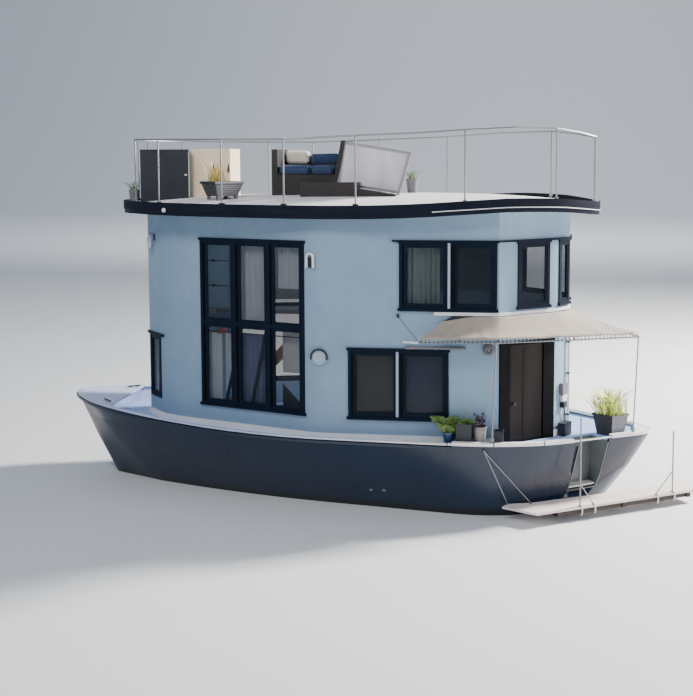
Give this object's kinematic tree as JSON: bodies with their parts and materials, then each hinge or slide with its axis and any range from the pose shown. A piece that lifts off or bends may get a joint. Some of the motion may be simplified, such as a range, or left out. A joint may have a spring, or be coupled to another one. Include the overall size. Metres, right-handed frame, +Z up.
{
  "type": "houseboat",
  "caption": "Two-storey houseboat with a dark double-ended hull, pale rounded house, flat railed roof, entrance awning and a boarding platform on the port quarter.",
  "frame": {"origin": "centreline amidships, in the plane of the still water", "axes": "+X towards the bow, +Y to port, +Z up"},
  "size_m": [13.1963, 4.4551, 8.342],
  "materials": {
    "hull_paint": "gloss",
    "deck_paint": "satin",
    "wall_paint": "satin",
    "fascia_paint": "satin",
    "dark_trim": "satin",
    "door_paint": "satin",
    "window_glass": "clear",
    "galvanised_steel": "dull",
    "navy_fabric": "woven",
    "awning_fabric": "woven",
    "platform_wood": "weathered",
    "bearer_wood": "wet",
    "floor_wood": "oiled",
    "planter_plastic": "matte"
  },
  "bodies": {
    "boat": {"hull": "hull_paint", "bulwark": "hull_paint", "keel_skeg": "hull_paint", "rub_rail": "hull_paint", "main_deck": "deck_paint", "cap_rail": "deck_paint", "recess_liner": "dark_trim", "recess_step": "deck_paint", "house_coaming": "deck_paint", "lower_house_wall": "wall_paint", "upper_house_wall": "wall_paint", "ledger_trim": "wall_paint", "upper_floor": "floor_wood", "big_window_frame_port": "dark_trim", "big_window_frame_starboard": "dark_trim", "big_window_glass_port": "window_glass", "big_window_glass_starboard": "window_glass", "lower_window_frame_port": "dark_trim", "lower_window_frame_starboard": "dark_trim", "lower_window_glass_port": "window_glass", "lower_window_glass_starboard": "window_glass", "upper_window_glass_port": "window_glass", "upper_window_glass_starboard": "window_glass", "quarter_window_glass_port": "window_glass", "quarter_window_glass_starboard": "window_glass", "corner_window_glass_port": "window_glass", "corner_window_glass_starboard": "window_glass", "bow_window_glass_port": "window_glass", "bow_window_glass_starboard": "window_glass", "aft_window_frames_port": "dark_trim", "aft_window_frames_starboard": "dark_trim", "bow_window_frames": "dark_trim", "door_frame": "dark_trim", "roof_slab": "deck_paint", "roof_fascia": "fascia_paint", "roof_deck": "deck_paint", "roof_railing": "galvanised_steel", "hatch_housing": "wall_paint", "roof_locker": "dark_trim", "bench_frame": "floor_wood", "seat_cushion_fore": "navy_fabric", "seat_cushion_aft": "navy_fabric", "back_cushion": "navy_fabric", "screen_frame": "dark_trim", "screen_pane": "window_glass", "awning_cloth": "awning_fabric", "awning_frame": "galvanised_steel", "boarding_platform": "platform_wood", "platform_bearers": "bearer_wood", "platform_stays": "galvanised_steel", "platform_stanchion_fore": "galvanised_steel", "platform_stanchion_aft": "galvanised_steel", "stern_bitts": "galvanised_steel", "roof_planter": "planter_plastic", "inner_stair": "floor_wood"},
    "door": {"entrance_door": "door_paint", "door_knob": "dark_trim"},
    "hatch_door": {"hatch_door": "wall_paint"},
    "locker_lid": {"locker_lid": "dark_trim"}
  },
  "joints": [
    {"name": "entrance_door_hinge", "type": "hinge", "parent": "boat", "child": "door", "pos_m": [-3.94938, 0.93249, 2.4], "axis": [0, 0, -1], "range_deg": [0, 88]},
    {"name": "hatch_door_hinge", "type": "hinge", "parent": "boat", "child": "hatch_door", "pos_m": [3.314, -0.418, 6.5], "axis": [0, 0, 1], "range_deg": [0, 95]},
    {"name": "locker_lid_hinge", "type": "hinge", "parent": "boat", "child": "locker_lid", "pos_m": [3.95149, 0.18537, 7.007], "axis": [0.9438, 0.3305, 0], "range_deg": [0, 80]}
  ]
}
